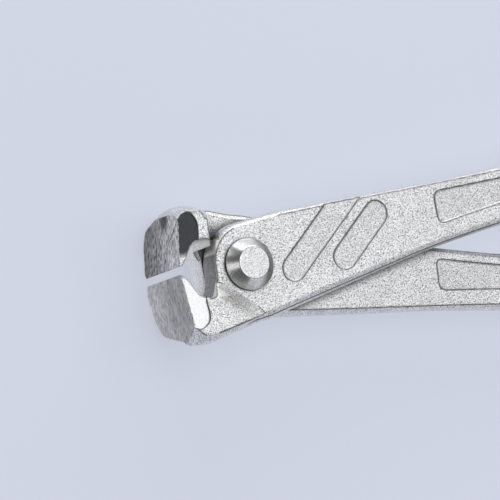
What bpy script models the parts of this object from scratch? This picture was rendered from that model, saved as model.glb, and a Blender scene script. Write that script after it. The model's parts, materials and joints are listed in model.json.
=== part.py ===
"""High-leverage concreters' nipper for tying and cutting rebar wire, 300 mm class.

Two drop-forged halves lap at a riveted joint. Each half runs from one handle, across the
joint, to the jaw on the other side. X runs from the pivot to the handle ends, Y is the
closing direction, and Z is the pivot axis. The tool lies flat, and the origin is on the
pivot axis at the lower flat of the rivet.
"""
import math

import bmesh
import bpy
from mathutils import Matrix, Vector

# Overall sizes, in metres.
OVERALL_LENGTH = 0.300
JAW_WIDTH = 0.0255
NOSE_REACH = 0.02375
REST_OPENING_DEG = 4.3
RUNNING_GAP = 0.0003

# One forged half, in metres, with the jaws closed.
PLATE_THICKNESS = 0.0087
JOINT_RADIUS = 0.0112
THROAT_RADIUS = 0.0104
SHOULDER_WIDTH = 0.0249
HANDLE_SPREAD = 0.0225
RIM_BULGE = 0.0014
INNER_BULGE = 0.0021
RIM_WAIST_BULGE = 0.0008
INNER_WAIST_BULGE = 0.0016
THROAT_BULGE = 0.00025
JOINT_ARC_START_DEG = 98.0
JOINT_ARC_END_DEG = 176.0
GRIPPED_BULGE = 0.0019
TIP_LENGTH = 0.0055

# Jaw, in metres.
FACE_HEIGHT = 0.0164
JAW_DEPTH = 0.0204
EDGE_LAND = 0.00006
JAW_ROUNDING = 0.0042
SIDE_GRIND = 0.00045
JAW_FLARE = 0.009
JAW_FLARE_DEPTH = 0.012
THROAT_DEPTH = 0.0082
UPPER_THROAT_SHARE = 0.94
LAP_RADIUS = 0.0134
LAP_BITE = 0.0010
BACK_SLOPE_DEG = 22.5
BACK_START = 0.0074
RAMP_START = 0.0080
RAMP_END = 0.0178
RAMP_CORNER_SHARE = 0.62
RAMP_HEADING_DEG = 230.6

# Pivot rivet, in metres.
SHANK_RADIUS = 0.0060
RIVET_HEAD_RADIUS = 0.0075
RIVET_FLAT_RADIUS = 0.00475
RIVET_HEAD_HEIGHT = 0.00375
RIVET_CORNER = 0.0004

# Recessed fields on the flat faces of a half, in metres.
FIELD_DEPTH = 0.00045
SLANT_FIELD_WIDTH = 0.0074
SLANT_FIELD_ANGLE_DEG = 41.5
OPEN_FIELD_START = (0.0140, -0.0032)
OPEN_FIELD_LENGTH = 0.032
CLOSED_FIELD_START = (0.0308, -0.0021)
CLOSED_FIELD_LENGTH = 0.0168
LONG_FIELD_START = 0.063
INNER_FIELD_START = 0.0647
LONG_FIELD_END = 0.113
LONG_FIELD_OUTER_MARGIN = 0.0022
LONG_FIELD_INNER_MARGIN = 0.0043
LONG_FIELD_CORNER = 0.0025
FIELD_CORNER_SHARE = 0.4

# Dipped grip sleeve, in metres.
GRIP_START = 0.125
GRIP_WALL = 0.0013
GRIP_LIP = 0.0009

# One overrun serves every cut, and points closer than the weld are made one.
OVERRUN = 0.002
WELD = 0.00001

# Facet counts, and the angle from which an edge is sharp.
ROUND_STEPS = 48
CORNER_STEPS = 6
CURVE_STEPS = 2
JOINT_STEPS = 12
RAMP_STEPS = 14
BAR_STEPS = 14
FIELD_STEPS = 10
MOUTH_STEPS = 2
SHARP_EDGE_DEG = 32.0

# Handle rows: place along the handle, centre line and width of the flat face, as shares
# of the handle's reach, its spread and the shoulder's width.
HANDLE_SHARES = (
    (0.045, 0.013, 1.000),
    (0.109, 0.116, 0.880),
    (0.164, 0.203, 0.773),
    (0.219, 0.285, 0.672),
    (0.2915, 0.376, 0.575),
    (0.364, 0.459, 0.505),
    (0.474, 0.584, 0.418),
    (0.656, 0.764, 0.347),
    (0.838, 0.911, 0.322),
    (1.000, 1.000, 0.306),
)

# Lower side of the joint plate, from the throat round to the handle, as shares of the
# joint radius and of the jaw depth.
PLATE_SHARES = (
    (-0.933, -0.049), (-0.960, -0.172), (-1.018, -0.284), (-1.125, -0.382),
    (-1.340, -0.436), (-1.480, -0.520), (-1.500, -0.710), (-1.437, -0.810),
    (-1.300, -0.833), (-0.777, -0.805), (-0.400, -0.768), (-0.050, -0.722), (0.400, -0.686),
)

# Throat wall of the jaw, from the cutting edge to the plate, as shares of the nose reach
# and of the throat depth.
THROAT_SHARES = (
    (-0.935, -0.094), (-0.893, -0.27), (-0.858, -0.47), (-0.800, -0.77),
    (-0.722, -0.945), (-0.655, -1.00), (-0.590, -0.985), (-0.545, -0.90),
    (-0.510, -0.71), (-0.478, -0.43),
)

# Outer end of each jaw, from the foot of the ground face round to the plate: shares of the
# nose reach and of the jaw depth, and how much of the side rounding the point takes.
LOWER_CAP_SHARES = (
    (-0.925, -0.975, 0.0), (-0.880, -0.992, 0.3), (-0.830, -0.998, 0.45),
    (-0.765, -1.000, 0.48), (-0.700, -1.000, 0.42), (-0.612, -0.985, 0.4),
    (-0.476, -0.945, 0.38), (-0.360, -0.910, 0.36), (-0.244, -0.872, 0.33),
    (-0.100, -0.798, 0.3), (0.100, -0.711, 0.0),
)
UPPER_CAP_SHARES = (
    (-0.936, -0.790, 0.0), (-0.876, -0.863, 0.5), (-0.823, -0.892, 0.66), (-0.770, -0.912, 0.8),
    (-0.695, -0.923, 0.82), (-0.640, -0.922, 0.80), (-0.585, -0.915, 0.95),
    (-0.520, -0.895, 1.3), (-0.430, -0.858, 1.1), (-0.300, -0.800, 0.7),
    (-0.100, -0.740, 0.3), (0.100, -0.690, 0.0),
)

# Ground face of each jaw, seen from the nose: sideways place as a share of half the jaw
# width, distance from the cutting edge as a share of the face height, and flare behind it.
LOWER_FACE_SHARES = (
    (-0.800, 0.00, 1.0), (-0.870, 0.08, 1.0), (-0.910, 0.19, 1.0), (-0.900, 0.34, 1.0),
    (-0.871, 0.49, 1.0), (-0.838, 0.626, 0.6), (-0.771, 0.77, 0.3), (-0.663, 0.896, 0.2),
    (-0.540, 0.968, 0.13), (-0.171, 1.046, 0.13), (0.166, 1.115, 0.2), (0.340, 1.165, 0.5),
    (0.500, 1.130, 0.8), (0.700, 1.07, 1.0), (0.980, 0.975, 1.0), (1.010, 0.80, 1.0),
)
UPPER_FACE_SHARES = (
    (0.800, 0.00, 1.0), (0.860, 0.08, 1.0), (0.875, 0.25, 1.0), (0.861, 0.491, 1.0),
    (0.813, 0.627, 1.0), (0.719, 0.777, 1.0), (0.399, 0.87, 1.0), (0.111, 0.925, 1.0),
    (-0.111, 0.976, 1.0), (-0.238, 0.995, 1.0), (-0.440, 0.932, 1.0), (-0.627, 0.882, 1.0),
    (-0.869, 0.835, 1.0), (-0.950, 0.80, 1.0), (-1.010, 0.70, 1.0),
)

# Ground side of each jaw tip, as shares of the nose reach and of the jaw depth.
LOWER_SIDE_SHARES = (
    (-1.20, 0.25), (-1.20, -0.60), (-0.930, -0.765), (-0.895, -0.790), (-0.858, -0.799),
    (-0.799, -0.774), (-0.752, -0.732), (-0.725, -0.686), (-0.714, -0.583), (-0.725, -0.432),
    (-0.700, -0.30), (-0.600, 0.25),
)
UPPER_SIDE_SHARES = (
    (-1.20, 0.25), (-1.20, -0.50), (-0.980, -0.600), (-0.937, -0.681), (-0.890, -0.745),
    (-0.832, -0.769), (-0.776, -0.753), (-0.730, -0.701), (-0.699, -0.628), (-0.693, -0.565),
    (-0.705, -0.375), (-0.690, -0.27), (-0.600, 0.25),
)

# Slanted cut at the lower foot of the lower jaw: a place on it as shares of the nose reach,
# the jaw depth and half the jaw width, and the way it faces.
FOOT_SHARES = (-0.926, -0.784, 1.0)
FOOT_FACING_SHARES = (-0.84, -0.915, 0.404)

# Section of the bar, and of the softer grip: height and bulge.
BAR_SECTION_SHARES = ((0.0, 0.0), (0.11, 0.62), (0.30, 0.93), (0.5, 1.0),
                      (0.70, 0.93), (0.89, 0.62), (1.0, 0.0))
GRIP_SECTION_SHARES = ((0.0, -0.75), (0.05, -0.05), (0.17, 0.60), (0.34, 0.92), (0.5, 1.0),
                       (0.66, 0.92), (0.83, 0.60), (0.95, -0.05), (1.0, -0.75))
LOWER_JAW_SECTION_SHARES = (
    (0.0, -1.30), (0.10, -0.95), (0.225, -0.70), (0.38, -0.45), (0.58, -0.22), (0.68, -0.08),
    (0.76, 0.0), (0.85, -0.12), (0.91, -0.30), (0.96, -0.58), (1.0, -1.10),
)
UPPER_JAW_SECTION_SHARES = (
    (0.0, -0.90), (0.045, -0.68), (0.13, -0.50), (0.19, -0.38), (0.28, -0.20),
    (0.38, 0.0), (0.60, 0.0), (0.80, -0.25), (0.93, -0.55), (1.0, -0.90),
)

REST_HEIGHT = PLATE_THICKNESS + RUNNING_GAP + RIVET_HEAD_HEIGHT
HANDLE_REACH = OVERALL_LENGTH - NOSE_REACH - GRIP_WALL - RUNNING_GAP - GRIPPED_BULGE
LAP_FACE = RUNNING_GAP / 2


def clear_scene():
    for obj in list(bpy.data.objects):
        bpy.data.objects.remove(obj, do_unlink=True)


def collection(name):
    made = bpy.data.collections.new(name)
    bpy.context.scene.collection.children.link(made)
    return made


def material(name, colour, roughness, metallic):
    made = bpy.data.materials.new(name)
    made.use_nodes = True
    shader = made.node_tree.nodes["Principled BSDF"]
    shader.inputs["Base Color"].default_value = (*colour, 1.0)
    shader.inputs["Roughness"].default_value = roughness
    shader.inputs["Metallic"].default_value = metallic
    made.diffuse_color = (*colour, 1.0)
    return made


def curve_through(points, steps):
    """Catmull-Rom curve through rows of numbers, ends kept."""
    rows = [Vector(point) for point in points]
    rows = [2 * rows[0] - rows[1]] + rows + [2 * rows[-1] - rows[-2]]
    found = []
    for i in range(1, len(rows) - 2):
        a, b, c, d = rows[i - 1:i + 3]
        for step in range(steps):
            t = step / steps
            found.append(0.5 * (2 * b + (c - a) * t + (2 * a - 5 * b + 4 * c - d) * t ** 2
                                + (3 * b - a - 3 * c + d) * t ** 3))
    found.append(rows[-2])
    return found


def outward(outline, index):
    """Unit normal of a counter-clockwise outline at one point."""
    before = Vector(outline[index - 1][:2])
    after = Vector(outline[(index + 1) % len(outline)][:2])
    along = (after - before).normalized()
    return Vector((along.y, -along.x))


def layered_solid(name, outline, bulges, section, low, high, group):
    """Closed solid of one outline at several heights, each pushed out along its normals.

    outline is counter-clockwise, bulges holds one size for each point, and section holds
    rows of height share and bulge share.
    """
    mesh = bmesh.new()
    loops = []
    for height_share, bulge_share in section:
        z = low + (high - low) * height_share
        loop = []
        for index, point in enumerate(outline):
            out = outward(outline, index) * bulges[index] * bulge_share
            loop.append(mesh.verts.new((point[0] + out.x, point[1] + out.y, z)))
        loops.append(loop)
    mesh.faces.new(list(reversed(loops[0])))
    mesh.faces.new(loops[-1])
    count = len(outline)
    for below, above in zip(loops, loops[1:]):
        for index in range(count):
            following = (index + 1) % count
            mesh.faces.new((below[index], below[following], above[following], above[index]))
    return finish_mesh(name, mesh, group)


def finish_mesh(name, mesh, group):
    bmesh.ops.recalc_face_normals(mesh, faces=mesh.faces)
    data = bpy.data.meshes.new(name)
    mesh.to_mesh(data)
    mesh.free()
    made = bpy.data.objects.new(name, data)
    group.objects.link(made)
    return made


def prism(name, outline, low, high, group):
    flat = ((0.0, 0.0), (1.0, 0.0))
    return layered_solid(name, outline, [0.0] * len(outline), flat, low, high, group)


def hide_cutter(obj):
    obj.hide_render = True
    obj.display_type = "WIRE"


def combine(target, other, operation):
    """Adds a Boolean modifier and applies it, so that each step starts from plain mesh."""
    triangulate(target)
    modifier = target.modifiers.new(operation.lower(), "BOOLEAN")
    modifier.operation = operation
    modifier.solver = "EXACT"
    modifier.object = other
    bpy.context.view_layer.update()
    graph = bpy.context.evaluated_depsgraph_get()
    result = bpy.data.meshes.new_from_object(target.evaluated_get(graph))
    target.modifiers.remove(modifier)
    target.data = result


def triangulate(obj):
    mesh = bmesh.new()
    mesh.from_mesh(obj.data)
    bmesh.ops.triangulate(mesh, faces=mesh.faces)
    mesh.to_mesh(obj.data)
    mesh.free()


def absorb(target, other):
    """Joins another solid to the target and removes it."""
    combine(target, other, "UNION")
    bpy.data.objects.remove(other, do_unlink=True)


def place_on_handle(x):
    """Place along the handle with the centre line and width of the flat face there."""
    scaled = [(x_share * HANDLE_REACH, y * HANDLE_SPREAD, w * SHOULDER_WIDTH)
              for x_share, y, w in HANDLE_SHARES]
    dense = curve_through(scaled, ROUND_STEPS)
    for low, high in zip(dense, dense[1:]):
        if low.x <= x <= high.x:
            return low.lerp(high, (x - low.x) / (high.x - low.x))
    return dense[0] if x < dense[0].x else dense[-1]


def handle_rows(first, last, count):
    """Evenly spaced places along the handle."""
    return [place_on_handle(first + (last - first) * i / count) for i in range(count + 1)]


def bulge_at(x, own_bulge, waist_bulge):
    """The sides flatten towards the long field and grow round where the grip covers the bar."""
    waist = min(1.0, max(0.0, (x - JOINT_RADIUS) / (LONG_FIELD_START - JOINT_RADIUS)))
    grip = min(1.0, max(0.0, (x - LONG_FIELD_START) / (GRIP_START - LONG_FIELD_START)))
    flat = own_bulge + (waist_bulge - own_bulge) * waist
    return flat + (GRIPPED_BULGE - flat) * grip


def tip_round(row, grow):
    """Rounded end of the bar, from its inner to its outer edge."""
    half = row.z / 2 + grow
    reach = TIP_LENGTH + grow
    turn = [math.pi * (step / (2 * CORNER_STEPS)) - math.pi / 2
            for step in range(1, 2 * CORNER_STEPS)]
    return [(row.x + reach * math.cos(angle), row.y + half * math.sin(angle)) for angle in turn]


def bar_outline(lead, grow):
    """Outline of the handle, from the rows in lead through the gripped length to its end."""
    rows = lead + handle_rows(GRIP_START + GRIP_LIP, HANDLE_REACH - TIP_LENGTH, BAR_STEPS)
    inner = [(row.x, row.y - row.z / 2 - grow) for row in rows]
    outer = [(row.x, row.y + row.z / 2 + grow) for row in reversed(rows)]
    tip = tip_round(rows[-1], grow)
    bulges = [bulge_at(point[0], INNER_BULGE, INNER_WAIST_BULGE) for point in inner]
    bulges += [GRIPPED_BULGE] * len(tip)
    bulges += [bulge_at(point[0], RIM_BULGE, RIM_WAIST_BULGE) for point in outer]
    return inner, tip, outer, bulges


def build_plate(name, group):
    """Joint plate and handle in one bar, with its sides bulged."""
    first = HANDLE_SHARES[0][0] * HANDLE_REACH
    lead = handle_rows(first, GRIP_START - GRIP_LIP, BAR_STEPS)
    inner, tip, outer, bar_bulges = bar_outline(lead, 0.0)
    lower = [(x * JOINT_RADIUS, y * JAW_DEPTH) for x, y in PLATE_SHARES]
    lower = [tuple(point) for point in curve_through(lower, CURVE_STEPS)]
    arc = math.radians(JOINT_ARC_END_DEG - JOINT_ARC_START_DEG)
    turn = [math.radians(JOINT_ARC_START_DEG) + arc * step / JOINT_STEPS
            for step in range(JOINT_STEPS + 1)]
    joint = [(THROAT_RADIUS * math.cos(a), JOINT_RADIUS * math.sin(a)) for a in turn]
    outline = lower + inner + tip + outer + joint
    bulges = []
    for x, y in lower:
        on_throat = x < -THROAT_RADIUS and y > -THROAT_DEPTH
        bulges.append(THROAT_BULGE if on_throat else INNER_BULGE)
    bulges += bar_bulges
    bulges += [THROAT_BULGE + (RIM_BULGE - THROAT_BULGE) * max(0.0, math.sin(a)) for a in turn]
    return layered_solid(name, outline, bulges, BAR_SECTION_SHARES, LAP_FACE,
                         PLATE_THICKNESS, group)


def build_jaw(name, shape, group, cutters):
    """Full-width jaw: a block with rounded sides, cut to its ground faces, ramp and lap."""
    face_shares, cap_shares, side_shares, section, throat_share, cut_foot = shape
    edge = (-NOSE_REACH, -EDGE_LAND)
    cap = [(x * NOSE_REACH, y * JAW_DEPTH, weight) for x, y, weight in cap_shares]
    throat_depth = THROAT_DEPTH * throat_share
    throat = [(x * NOSE_REACH, y * throat_depth) for x, y in reversed(THROAT_SHARES)]
    throat = [tuple(point) for point in curve_through(throat, CURVE_STEPS)]
    over_ramp = (-RAMP_START * RAMP_CORNER_SHARE, -RAMP_START * RAMP_CORNER_SHARE)
    outline = [edge] + [point[:2] for point in cap] + [over_ramp] + throat
    rounding = [JAW_ROUNDING * point[2] for point in cap]
    bulges = [0.0] + rounding + [0.0] * (1 + len(throat))
    half = JAW_WIDTH / 2
    jaw = layered_solid(name, outline, bulges, section, -half, half, group)

    side = [(x * NOSE_REACH, y * JAW_DEPTH) for x, y in side_shares]
    sides = prism(name + "_sides", side, half - SIDE_GRIND, half + OVERRUN, cutters)
    absorb(sides, prism(name + "_far", side, -half - OVERRUN, SIDE_GRIND - half, cutters))
    combine(jaw, sides, "DIFFERENCE")
    combine(jaw, face_solid(name + "_face", face_shares, cutters), "INTERSECT")
    if cut_foot:
        combine(jaw, foot_block(name + "_foot", cutters), "DIFFERENCE")
    combine(jaw, ramp_solid(name + "_ramp", cutters), "DIFFERENCE")

    reach = NOSE_REACH + JAW_DEPTH
    lap = bmesh.new()
    bmesh.ops.create_cone(lap, cap_ends=True, segments=2 * ROUND_STEPS, radius1=LAP_RADIUS,
                          radius2=LAP_RADIUS, depth=reach,
                          matrix=Matrix.Translation((0.0, 0.0, LAP_BITE - reach / 2)))
    combine(jaw, finish_mesh(name + "_lap", lap, cutters), "DIFFERENCE")

    fall = math.tan(math.radians(BACK_SLOPE_DEG)) * reach
    slope = [(-BACK_START, LAP_BITE), (-BACK_START - fall, LAP_BITE - reach),
             (reach, LAP_BITE - reach), (reach, LAP_BITE)]
    combine(jaw, upright_prism(name + "_back", slope, reach, cutters), "DIFFERENCE")

    return jaw


def foot_block(name, cutters):
    """Block beyond the slanted cut at the foot of the jaw."""
    mesh = bmesh.new()
    bmesh.ops.create_cube(mesh, size=JAW_DEPTH, matrix=Matrix.Translation((0, 0, JAW_DEPTH / 2)))
    made = finish_mesh(name, mesh, cutters)
    x, y, z = FOOT_SHARES
    place_on_cut = (x * NOSE_REACH, y * JAW_DEPTH, z * JAW_WIDTH / 2)
    turn = Vector(FOOT_FACING_SHARES).to_track_quat("Z", "Y").to_matrix().to_4x4()
    made.data.transform(Matrix.Translation(place_on_cut) @ turn)
    return made


def upright_prism(name, outline, reach, cutters):
    """Prism of an outline given in X and Z, running both ways along Y."""
    made = prism(name, outline, -reach, reach, cutters)
    made.data.transform(Matrix.Rotation(math.pi / 2, 4, "X"))
    return made


def ramp_solid(name, cutters):
    """What is cut above the smooth rise from the joint plate to the full jaw width."""
    low = PLATE_THICKNESS - LAP_FACE
    high = JAW_WIDTH / 2 + LAP_FACE
    top = high + OVERRUN
    profile = [(RAMP_END + OVERRUN, top), (-JAW_DEPTH, top), (-JAW_DEPTH, low)]
    for step in range(RAMP_STEPS + 1):
        t = step / RAMP_STEPS
        rise = t * t * (3 - 2 * t)
        profile.append((RAMP_START + (RAMP_END - RAMP_START) * t, low + (high - low) * rise))
    ramp = upright_prism(name, profile, NOSE_REACH + JAW_DEPTH, cutters)
    ramp.data.transform(Matrix.Rotation(math.radians(RAMP_HEADING_DEG), 4, "Z"))
    return ramp


def face_solid(name, face_shares, cutters):
    """Flared block whose front is the outline of the ground face."""
    half = JAW_WIDTH / 2
    side = [Vector((across * half, -out * FACE_HEIGHT, flare))
            for across, out, flare in face_shares]
    side = curve_through(side, CURVE_STEPS)
    across_end = half + JAW_FLARE
    last_z = math.copysign(across_end, side[-1].x)
    first_z = math.copysign(across_end, side[0].x)
    front = side + [Vector((last_z, JAW_FLARE, 1.0)), Vector((first_z, JAW_FLARE, 1.0))]
    following = front[1:] + front[:1]
    if sum(a.x * b.y - b.x * a.y for a, b in zip(front, following)) < 0:
        front.reverse()
    mesh = bmesh.new()
    rings = []
    for x, grow in ((-NOSE_REACH - OVERRUN, -JAW_FLARE * OVERRUN / JAW_FLARE_DEPTH),
                    (-NOSE_REACH, 0.0),
                    (-NOSE_REACH + JAW_FLARE_DEPTH, JAW_FLARE),
                    (SHOULDER_WIDTH, 2 * JAW_FLARE)):
        ring = []
        for point in front:
            out = point.xy.normalized() * grow
            ring.append(mesh.verts.new((x, point.y + out.y * point.z, point.x + out.x)))
        rings.append(ring)
    mesh.faces.new(rings[0])
    mesh.faces.new(list(reversed(rings[-1])))
    for near, far in zip(rings, rings[1:]):
        for index in range(len(front)):
            after = (index + 1) % len(front)
            mesh.faces.new((near[index], near[after], far[after], far[index]))
    return finish_mesh(name, mesh, cutters)


def slanted_field(start, length):
    """Outline of a slanted field with round ends."""
    angle = math.radians(SLANT_FIELD_ANGLE_DEG)
    along = Vector((math.cos(angle), math.sin(angle)))
    radius = SLANT_FIELD_WIDTH / 2
    outline = []
    for end, turn_from in ((Vector(start) + along * length, -90), (Vector(start), 90)):
        for step in range(2 * CORNER_STEPS + 1):
            turn = angle + math.radians(turn_from + 180 * step / (2 * CORNER_STEPS))
            outline.append((end.x + radius * math.cos(turn), end.y + radius * math.sin(turn)))
    return outline


def long_field(start, drop):
    """Outline of a long field, following both edges of the handle."""
    rows = handle_rows(start, LONG_FIELD_END, FIELD_STEPS)
    lower = [(row.x, row.y - row.z / 2 + LONG_FIELD_INNER_MARGIN - drop) for row in rows]
    upper = [(row.x, row.y + row.z / 2 - LONG_FIELD_OUTER_MARGIN - drop) for row in rows]
    corners = [lower[0], lower[-1], upper[-1], upper[0]]
    outline = []
    for index, corner in enumerate(corners):
        before = Vector(corners[index - 1])
        after = Vector(corners[(index + 1) % 4])
        here = Vector(corner)
        shorter = min((before - here).length, (after - here).length)
        reach = min(LONG_FIELD_CORNER, FIELD_CORNER_SHARE * shorter)
        leave = here + (before - here).normalized() * reach
        join = here + (after - here).normalized() * reach
        for step in range(CORNER_STEPS + 1):
            t = step / CORNER_STEPS
            outline.append(tuple(leave * (1 - t) ** 2 + here * 2 * t * (1 - t) + join * t ** 2))
        if index == 0:
            outline += lower[2:-2]
        if index == 2:
            outline += list(reversed(upper))[2:-2]
    return outline


def cut_fields(half, cutters):
    """Shallow recessed fields: three on the outer face and one on the inner face."""
    floor = PLATE_THICKNESS - FIELD_DEPTH
    top = PLATE_THICKNESS + OVERRUN
    outlines = (
        ("open", slanted_field(OPEN_FIELD_START, OPEN_FIELD_LENGTH), floor, top),
        ("closed", slanted_field(CLOSED_FIELD_START, CLOSED_FIELD_LENGTH), floor, top),
        ("long", long_field(LONG_FIELD_START, 0.0), floor, top),
        ("inner", long_field(INNER_FIELD_START, LONG_FIELD_OUTER_MARGIN),
         LAP_FACE - OVERRUN, LAP_FACE + FIELD_DEPTH),
    )
    fields = bmesh.new()
    for label, outline, low, high in outlines:
        cutter = prism(half.name + "_" + label, outline, low, high, cutters)
        fields.from_mesh(cutter.data)
        bpy.data.objects.remove(cutter, do_unlink=True)
    combine(half, finish_mesh(half.name + "_fields", fields, cutters), "DIFFERENCE")


def cut_bore(half, cutters):
    mesh = bmesh.new()
    radius = SHANK_RADIUS + RUNNING_GAP
    bmesh.ops.create_cone(mesh, cap_ends=True, segments=ROUND_STEPS, radius1=radius,
                          radius2=radius, depth=4 * PLATE_THICKNESS)
    combine(half, finish_mesh(half.name + "_bore", mesh, cutters), "DIFFERENCE")


def build_half(name, shape, flipped, finish, group, cutters):
    """One forging. The flipped one is turned half a turn about X and swings the other way."""
    half = build_plate(name, group)
    jaw = build_jaw(name + "_jaw", shape, group, cutters)
    absorb(half, jaw)
    cut_bore(half, cutters)
    cut_fields(half, cutters)
    weld(half)
    half.data.materials.clear()
    half.data.materials.append(finish)
    place(half, flipped)
    return half


def weld(obj):
    mesh = bmesh.new()
    mesh.from_mesh(obj.data)
    bmesh.ops.remove_doubles(mesh, verts=mesh.verts, dist=WELD)
    bmesh.ops.dissolve_degenerate(mesh, dist=WELD, edges=mesh.edges)
    mesh.to_mesh(obj.data)
    mesh.free()


def place(obj, flipped):
    """Sets a half or its grip at the pivot, turned by half the opening at rest."""
    swing = math.radians(REST_OPENING_DEG / 2)
    obj.location = (0.0, 0.0, REST_HEIGHT)
    if flipped:
        obj.data.transform(Matrix.Rotation(math.pi, 4, "X"))
        swing = -swing
    obj.rotation_euler = (0.0, 0.0, swing)


def build_rivet(finish, group):
    """Headed pivot rivet, turned about the pivot axis."""
    top = PLATE_THICKNESS + RUNNING_GAP + RIVET_HEAD_HEIGHT
    seat = PLATE_THICKNESS + RUNNING_GAP
    upper = [(0.0, top), (RIVET_FLAT_RADIUS - RIVET_CORNER, top),
             (RIVET_FLAT_RADIUS, top - RIVET_CORNER / 2),
             (RIVET_HEAD_RADIUS, seat + RIVET_CORNER), (RIVET_HEAD_RADIUS, seat),
             (SHANK_RADIUS, seat)]
    profile = upper + [(r, -z) for r, z in reversed(upper)]
    mesh = bmesh.new()
    verts = [mesh.verts.new((r, 0.0, z)) for r, z in profile]
    for a, b in zip(verts, verts[1:]):
        mesh.edges.new((a, b))
    data = bpy.data.meshes.new("pivot_rivet")
    mesh.to_mesh(data)
    mesh.free()
    rivet = bpy.data.objects.new("pivot_rivet", data)
    group.objects.link(rivet)
    turned = rivet.modifiers.new("turned", "SCREW")
    turned.axis = "Z"
    turned.steps = ROUND_STEPS
    turned.render_steps = ROUND_STEPS
    turned.use_merge_vertices = True
    turned.merge_threshold = WELD
    data.materials.append(finish)
    rivet.location = (0.0, 0.0, REST_HEIGHT)
    return rivet


def build_grip(name, flipped, finish, group, cutters):
    """Dipped sleeve: a closed end, and a mouth that the bar comes out of."""
    grow = RUNNING_GAP + GRIP_WALL
    inner, tip, outer, bulges = bar_outline([place_on_handle(GRIP_START)], grow)
    grip = layered_solid(name, inner + tip + outer, bulges, GRIP_SECTION_SHARES,
                         LAP_FACE - grow, PLATE_THICKNESS + grow, group)
    lead = handle_rows(GRIP_START - 3 * OVERRUN, GRIP_START - GRIP_LIP, MOUTH_STEPS)
    inner, tip, outer, bulges = bar_outline(lead, RUNNING_GAP)
    cavity = layered_solid(name + "_cavity", inner + tip + outer, bulges, BAR_SECTION_SHARES,
                           LAP_FACE - RUNNING_GAP, PLATE_THICKNESS + RUNNING_GAP, cutters)
    combine(grip, cavity, "DIFFERENCE")
    weld(grip)
    grip.data.materials.clear()
    grip.data.materials.append(finish)
    place(grip, flipped)
    return grip


def shade(obj):
    if obj.type == "MESH":
        obj.data.shade_smooth()
        obj.data.set_sharp_from_angle(angle=math.radians(SHARP_EDGE_DEG))


def main():
    clear_scene()
    parts = collection("rebar_tying_pliers")
    cutters = collection("cutters")
    zinc = material("zinc_plated_forging", (0.56, 0.57, 0.59), 0.42, 0.9)
    steel = material("polished_rivet_steel", (0.66, 0.66, 0.68), 0.28, 1.0)
    vinyl = material("dipped_vinyl", (0.42, 0.03, 0.03), 0.45, 0.0)
    lower = (LOWER_FACE_SHARES, LOWER_CAP_SHARES, LOWER_SIDE_SHARES,
             LOWER_JAW_SECTION_SHARES, 1.0, True)
    upper = (UPPER_FACE_SHARES, UPPER_CAP_SHARES, UPPER_SIDE_SHARES,
             UPPER_JAW_SECTION_SHARES, UPPER_THROAT_SHARE, False)
    made = [
        build_half("front_half", lower, False, zinc, parts, cutters),
        build_half("rear_half", upper, True, zinc, parts, cutters),
        build_rivet(steel, parts),
        build_grip("front_grip", False, vinyl, parts, cutters),
        build_grip("rear_grip", True, vinyl, parts, cutters),
    ]
    for obj in made:
        shade(obj)
    for obj in cutters.objects:
        hide_cutter(obj)


if __name__ == "__main__":
    main()
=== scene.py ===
"""Long-handled tying nippers, laid flat: finishes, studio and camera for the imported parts."""

import json
import math

import bmesh
import bpy
import numpy as np
from mathutils import Matrix, Vector, kdtree


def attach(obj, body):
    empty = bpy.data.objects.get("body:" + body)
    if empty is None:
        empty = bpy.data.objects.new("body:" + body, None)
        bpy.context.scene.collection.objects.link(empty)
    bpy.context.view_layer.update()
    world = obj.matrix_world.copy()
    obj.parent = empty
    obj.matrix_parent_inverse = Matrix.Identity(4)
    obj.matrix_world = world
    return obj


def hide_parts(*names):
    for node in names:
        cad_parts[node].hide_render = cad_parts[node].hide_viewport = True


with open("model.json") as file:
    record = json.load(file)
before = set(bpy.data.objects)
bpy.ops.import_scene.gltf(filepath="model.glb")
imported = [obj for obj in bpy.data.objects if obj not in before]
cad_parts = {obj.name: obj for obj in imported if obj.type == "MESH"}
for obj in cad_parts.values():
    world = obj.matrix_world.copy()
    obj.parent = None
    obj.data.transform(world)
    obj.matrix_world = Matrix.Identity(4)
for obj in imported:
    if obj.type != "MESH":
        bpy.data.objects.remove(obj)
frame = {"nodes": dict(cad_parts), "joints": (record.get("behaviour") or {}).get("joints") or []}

bl_info = {
    "name": "Tying nippers",
    "version": (1, 0, 0),
    "blender": (4, 5, 0),
    "location": "3D View > Sidebar > Nippers",
    "description": "Forged halves, rivet, dipped sleeves and a plain studio for a pair of nippers",
    "category": "Object",
}

MM = 0.001
JOINT = Vector(frame["joints"][0]["pos_m"])

HALVES = ("front_half", "rear_half")
GRIPS = ("front_grip", "rear_grip")
BODIES = {
    "front_half": "front_lever",
    "rear_half": "rear_lever",
    "pivot_rivet": "rear_lever",
    "front_grip": "front_lever",
    "rear_grip": "rear_lever",
}

# Surfaces of a forged half, in the order of its material slots. The crisp ones end in a
# sharp border: the ground faces of the jaws and the large flats.
KINDS = ("skin", "front", "side", "plate", "field", "slope")
CRISP_KINDS = ("front", "side", "plate")

# Least size of a flat area, of a pressed field and of a plate, in square millimetres, and
# the height of the jaws' ground sides from the middle of the tool.
LEAST_FLAT = 30.0
LEAST_FIELD = 100.0
LEAST_PLATE = 1000.0
GROUND_SIDE_HEIGHT = 12.3 * MM
HEIGHT_PLAY = 0.05 * MM

# Slabs take a hair off each crisp flat, and the fields' floors are brought back to their
# level from within their play.
FLAT_CUT = 0.06 * MM
SLAB_HEIGHT = 1.2 * MM
LEVEL_PLAY = 0.004 * MM
FIELD_PLAY = 0.15 * MM
FIELD_MARK = 0.05 * MM

# How a face lies, as a cosine. Faces of one flat, the faces of a crisp cut, those of a
# field's floor and the vertices on it agree with the flat's direction by at least these.
SAME_FLAT = 0.9999
CUT_FLAT = 0.9995
FIELD_FLOOR = 0.985
NEAR_FLOOR = 0.94

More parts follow.
